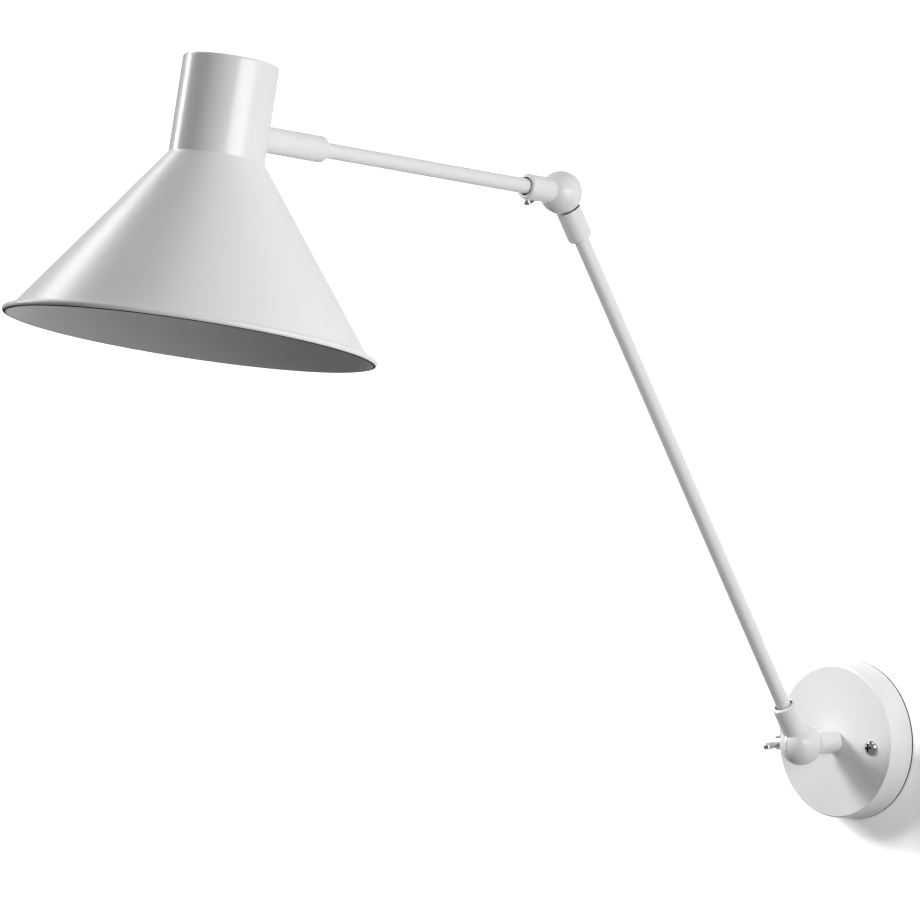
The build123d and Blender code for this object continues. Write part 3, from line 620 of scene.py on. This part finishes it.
class WALLLAMP_OT_arms(bpy.types.Operator):
    """Arms, knuckles and collar in gloss paint"""

    bl_idname = "wall_lamp.arms"
    bl_label = "Arms and knuckles"

    def execute(self, context):
        sizes = context.scene.lamp_sizes
        colours = context.scene.lamp_colours
        material = paint_finish(
            "gloss_white_paint", colours.paint, colours.gloss_roughness,
            peel_size=0.0022, peel_depth=0.000015, coat=0.1)
        finished_nodes(["lower_arm_tube", "upper_arm_tube"], material)
        finished_nodes(
            ["stem_knuckle_half", "shade_collar"], material, sizes.edge_round)
        # Painted shade: the sockets' mouths and the hollows facing the other half ball are made
        # near-black where shade falls.
        painted_shade = painted_shade_finish("socket_painted_shade", colours.painted_shade)
        sockets = finished_nodes(
            ["base_arm_half", "elbow_lower_half", "elbow_upper_half"],
            material, sizes.edge_round)
        axes = ((BASE_PIVOT, LOWER_ARM), (ELBOW, -LOWER_ARM), (ELBOW, UPPER_ARM))
        for piece, (pivot, axis) in zip(sockets, axes):
            hollow = socket_shade_faces(pivot, axis, sizes.ball_radius, sizes.mouth_radius)
            second_finish(piece, hollow, painted_shade)
        return {"FINISHED"}


class WALLLAMP_OT_wall_plate(bpy.types.Operator):
    """Cover of the wall plate"""

    bl_idname = "wall_lamp.wall_plate"
    bl_label = "Wall plate"

    def execute(self, context):
        colours = context.scene.lamp_colours
        material = paint_finish(
            "plate_white_paint", colours.plate_paint, colours.gloss_roughness + 0.1,
            peel_size=0.0020, peel_depth=0.00002, grain_size=0.0009)
        finished_nodes(["wall_cover"], material)
        return {"FINISHED"}


class WALLLAMP_OT_hardware(bpy.types.Operator):
    """Screws, nuts, washers, nipples and springs, and the friction rings"""

    bl_idname = "wall_lamp.hardware"
    bl_label = "Hardware"

    def execute(self, context):
        sizes = context.scene.lamp_sizes
        colours = context.scene.lamp_colours
        chrome = plated_finish(
            "chrome_plate", colours.chrome, 0.08, stain=scaled(colours.chrome, 0.9), streak=0.04)
        zinc = plated_finish(
            "zinc_plate", colours.zinc, 0.36, stain=(0.52, 0.51, 0.46), streak=0.1)
        brass = plated_finish(
            "plain_brass", colours.brass, 0.28, stain=scaled(colours.brass, 0.8), streak=0.1)
        fibre = fibre_finish("pressed_fibre", colours.fibre)
        # Painted shade: the cover screws' cross recess is made near-black where shade falls.
        dark = plated_finish(
            "recess_painted_shade", colours.painted_shade, 0.4, stain=scaled(colours.painted_shade, 0.7), streak=0.05)
        finished_nodes(
            ["base_wing_screw", "elbow_wing_screw"], chrome, sizes.edge_round)
        for piece in finished_nodes(["cover_screws"], chrome, sizes.screw_round):
            second_finish(piece, cross_recess, dark)
        finished_nodes(
            ["backplate", "backplate_pillars", "swivel_stop_pin", "stem_nipple",
             "swivel_stop_washer", "swivel_spring_washer", "stem_nut", "base_wing_spring",
             "elbow_wing_spring", "shade_swivel_washer", "upper_tube_nut", "shade_nipple",
             "shade_nut", "holder_strap", "holder_nut", "holder_nipple"],
            zinc)
        finished_nodes(["terminal_screws", "earth_screw", "holder_contact"], brass)
        finished_nodes(["base_friction_ring", "elbow_friction_ring"], fibre)
        return {"FINISHED"}


class WALLLAMP_OT_lampholder(bpy.types.Operator):
    """Lampholder with its threaded screw shell, and the terminal block"""

    bl_idname = "wall_lamp.lampholder"
    bl_label = "Lampholder"

    def execute(self, context):
        """The screw shell is a thin tube with a round helical thread. At angle a and level z
        its radius is middle + depth * cos(2 pi z / pitch - a), with the depth let down to
        nothing over the last turn at each end."""
        sizes = context.scene.lamp_sizes
        colours = context.scene.lamp_colours
        plastic = moulded_finish("holder_plastic", colours.holder_plastic, 0.42)
        terminal = moulded_finish("terminal_plastic", colours.terminal_plastic, 0.5)
        finished_nodes(
            ["holder_cap", "holder_body"], plastic, sizes.moulded_round)
        finished_nodes(["terminal_block"], terminal)

        mount = MOUNTS["lamp_thread"]
        inner = mount["dims"]["r_mm"] / 1000.0
        length = mount["dims"]["length_mm"] / 1000.0
        wall, pitch, depth = sizes.shell_wall, sizes.thread_pitch, sizes.thread_depth
        segments, rows = 120, 150
        level = np.linspace(-length / 2.0, length / 2.0, rows)
        angle = np.linspace(0.0, 2.0 * pi, segments, endpoint=False)
        ends = np.clip((length / 2.0 - np.abs(level)) / pitch, 0.0, 1.0)[:, None]
        wave = np.cos(2.0 * pi * level[:, None] / pitch - angle[None, :]) * ends
        across = np.cross(SHADE_DOWN, PIVOT)
        ring = np.outer(np.cos(angle), PIVOT) + np.outer(np.sin(angle), across)
        centre = np.array(mount["pos_m"])
        middle = inner + depth - wall
        along = level[:, None, None] * SHADE_DOWN
        inside = (middle + depth * wave)[..., None] * ring + along
        outside = (middle + wall + depth * wave)[..., None] * ring + along
        points = centre + np.concatenate([inside, outside[::-1]]).reshape(-1, 3)
        faces = outward(points - centre, grid_faces(2 * rows, segments, True, True))
        brass = plated_finish(
            "shell_brass", colours.brass, 0.25, stain=scaled(colours.brass, 0.85), streak=0.08)
        piece = new_piece("holder_screw_shell", points, faces.tolist(), brass)
        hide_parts("holder_shell")
        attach(piece, "shade")
        return {"FINISHED"}


class WALLLAMP_OT_stage(bpy.types.Operator):
    """White wall, soft lamps and the camera"""

    bl_idname = "wall_lamp.stage"
    bl_label = "Stage"

    def execute(self, context):
        scene = context.scene
        colours = scene.lamp_colours
        self.wall(scene.lamp_sizes, colours)
        self.world(scene, colours)
        arms, shade, plate = (0.0, -0.30, 0.25), (0.0, -0.56, 0.35), (0.0, -0.03, 0.0)
        soft_lamp("side_lamp", (1.8, -0.22, 0.5), arms, colours.side_power, 0.6)
        soft_lamp("front_lamp", (1.7, -0.85, 0.6), arms, colours.front_power, 0.7)
        soft_lamp("strip_lamp", (-1.14, -0.93, 0.65), shade, colours.strip_power, 0.18, 0.6)
        soft_lamp("crown_lamp", (-1.05, -0.52, 1.10), shade, colours.crown_power, 0.2)
        spot_lamp("plate_lamp", (-0.82, -0.73, 0.62), plate, colours.plate_power, 0.14)
        soft_lamp("low_lamp", (1.8, -0.30, -0.5), arms, colours.low_power, 0.6)
        soft_lamp("top_lamp", (0.5, -0.7, 1.9), arms, colours.top_power, 0.9)
        self.camera(scene)
        scene.view_settings.view_transform = "Standard"
        return {"FINISHED"}

    def wall(self, sizes, colours):
        """A flat wall at y = 0, white to the camera, that keeps the plate's shadow and is
        see-through from behind. Its own glow is less where the plate's shadow lies, a painted
        shadow fixed round the plate, and it is painted dark behind the plate as painted shade in
        the gap under the plate's rim. A point is (u, gap, v), on a square grid of u by v."""
        half, count, gap = 4.0, 9, 0.0002
        # The wall's glow dips in a squeezed circle at the plate's lower right: a painted shadow,
        # fixed in place, in which the lamps' real shadow of the plate shows.
        shadow_middle, shadow_squeeze = (0.035, 0.0, -0.048), (0.7, 1.0, 1.2)
        shadow_core, shadow_end = 0.035, 0.065    # metres from its middle, once squeezed
        shadow_glow = 0.23                        # share of the wall's glow that is left in it
        steps = np.linspace(-half, half, count)
        u, v = np.meshgrid(steps, steps, indexing="ij")
        points = np.stack([u, np.full_like(u, gap), v], axis=-1).reshape(-1, 3)
        finish, material = new_finish("wall_white")
        facing = finish.node("ShaderNodeNewGeometry", output="Backfacing")
        camera = finish.node("ShaderNodeLightPath", output="Is Camera Ray")
        place = finish.place()
        from_middle = finish.node(
            "ShaderNodeVectorMath", {"operation": "LENGTH"}, {0: place}, output="Value")
        # Painted shade: inside the plate's radius the wall is made near-black and has no glow, for
        # the shade in the gap under the plate's rim.
        outside_painted_gap_shade = finish.node(
            "ShaderNodeMath", {"operation": "GREATER_THAN"},
            {0: from_middle, 1: sizes.plate_radius})
        squeezed = finish.node(
            "ShaderNodeVectorMath", {"operation": "MULTIPLY"}, {0: place, 1: shadow_squeeze})
        from_shadow = finish.node(
            "ShaderNodeVectorMath", {"operation": "DISTANCE"},
            {0: squeezed, 1: shadow_middle}, output="Value")
        glow = finish.node(
            "ShaderNodeMapRange", None,
            {"Value": from_shadow, "From Min": shadow_core, "From Max": shadow_end,
             "To Min": colours.wall_glow * shadow_glow, "To Max": colours.wall_glow})
        plaster = finish.node(
            "ShaderNodeBsdfPrincipled", None,
            {"Base Color": finish.tint((0.05, 0.05, 0.05), outside_painted_gap_shade, (0.9, 0.9, 0.9)),
             "Roughness": 0.9, "Specular IOR Level": 0.0,
             "Emission Color": camera * glow * outside_painted_gap_shade, "Emission Strength": 1.0})
        clear = finish.node("ShaderNodeBsdfTransparent")
        mixed = finish.node("ShaderNodeMixShader", None, {0: facing, 1: plaster, 2: clear})
        finish.node("ShaderNodeOutputMaterial", None, {"Surface": mixed}, output=None)
        faces = grid_faces(count, count, False, False)
        wall = new_piece("backdrop_wall", points, faces.tolist(), material)
        if wall.data.polygons[0].normal.y > 0:
            wall.data.flip_normals()

    def world(self, scene, colours):
        """White to the camera and through glass, a fifth as bright in mirrors, and a dark grey as
        a light."""
        scene.world = bpy.data.worlds.new("studio")
        scene.world.use_nodes = True
        finish = Finish(scene.world.node_tree)
        camera = finish.node("ShaderNodeLightPath", output="Is Camera Ray")
        through = finish.node("ShaderNodeLightPath", output="Is Transmission Ray")
        mirrored = finish.node("ShaderNodeLightPath", output="Is Glossy Ray")
        shown = finish.node("ShaderNodeClamp", None, {"Value": camera + through + mirrored * 0.2})
        level = shown + (1.0 - shown) * colours.fill_level
        light = finish.node(
            "ShaderNodeBackground", None, {"Color": (1.0, 1.0, 1.0, 1.0), "Strength": level})
        finish.node("ShaderNodeOutputWorld", None, {"Surface": light}, output=None)

    def camera(self, scene):
        """The camera looks along azimuth 45.25 and elevation 3.05 degrees at a point 37 cm out
        from the wall and 20 cm above the plate, from 5.25 m."""
        azimuth, elevation, distance = radians(45.25), radians(3.05), 5.25
        target = Vector((0.0, -0.3721, 0.2017))
        level = cos(elevation)
        away = Vector((sin(azimuth) * level, -cos(azimuth) * level, sin(elevation)))
        data = bpy.data.cameras.new("photo_camera")
        data.sensor_width = 36.0
        data.lens = 322.2
        data.dof.use_dof = False
        camera = bpy.data.objects.new("photo_camera", data)
        camera.location = target + away * distance
        camera.rotation_euler = (-away).to_track_quat("-Z", "Y").to_euler()
        scene.collection.objects.link(camera)
        scene.camera = camera


def soft_lamp(name, place, aim, power, width, height=None):
    """A square lamp, or a tall one, at a place and turned to an aim point."""
    data = aimed_lamp(name, "AREA", place, aim, power)
    data.shape = "RECTANGLE"
    data.size = width
    data.size_y = height or width


def spot_lamp(name, place, aim, power, radius):
    """A soft spot of 40 degrees at a place and turned to an aim point."""
    data = aimed_lamp(name, "SPOT", place, aim, power)
    data.spot_size = radians(40.0)
    data.spot_blend = 0.6
    data.shadow_soft_size = radius


def aimed_lamp(name, kind, place, aim, power):
    """Puts a lamp of a kind in the scene, turned to its aim point, and gives its data."""
    data = bpy.data.lights.new(name, kind)
    data.energy = power
    lamp = bpy.data.objects.new(name, data)
    lamp.location = place
    lamp.rotation_euler = (Vector(aim) - Vector(place)).to_track_quat("-Z", "Y").to_euler()
    bpy.context.scene.collection.objects.link(lamp)
    return data


class WALLLAMP_PT_panel(bpy.types.Panel):
    """Lists the lamp's steps, sizes and colours"""

    bl_idname = "WALLLAMP_PT_panel"
    bl_label = "Wall lamp"
    bl_space_type = "VIEW_3D"
    bl_region_type = "UI"
    bl_category = "Wall lamp"

    def draw(self, context):
        for operator in OPERATORS:
            self.layout.operator(operator.bl_idname)
        for group in (context.scene.lamp_sizes, context.scene.lamp_colours):
            column = self.layout.column()
            for name in group.__annotations__:
                column.prop(group, name)


OPERATORS = (
    WALLLAMP_OT_wall_plate,
    WALLLAMP_OT_arms,
    WALLLAMP_OT_shade_neck,
    WALLLAMP_OT_shade_cone,
    WALLLAMP_OT_lampholder,
    WALLLAMP_OT_hardware,
    WALLLAMP_OT_stage,
)
CLASSES = (LampSizes, LampColours) + OPERATORS + (WALLLAMP_PT_panel,)


def register():
    for item in CLASSES:
        bpy.utils.register_class(item)
    bpy.types.Scene.lamp_sizes = bpy.props.PointerProperty(type=LampSizes)
    bpy.types.Scene.lamp_colours = bpy.props.PointerProperty(type=LampColours)


def unregister():
    del bpy.types.Scene.lamp_colours
    del bpy.types.Scene.lamp_sizes
    for item in reversed(CLASSES):
        bpy.utils.unregister_class(item)


def main():
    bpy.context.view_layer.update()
    register()
    bpy.ops.wall_lamp.wall_plate()
    bpy.ops.wall_lamp.arms()
    bpy.ops.wall_lamp.shade_neck()
    bpy.ops.wall_lamp.shade_cone()
    bpy.ops.wall_lamp.lampholder()
    bpy.ops.wall_lamp.hardware()
    bpy.ops.wall_lamp.stage()


if __name__ == "__main__":
    main()
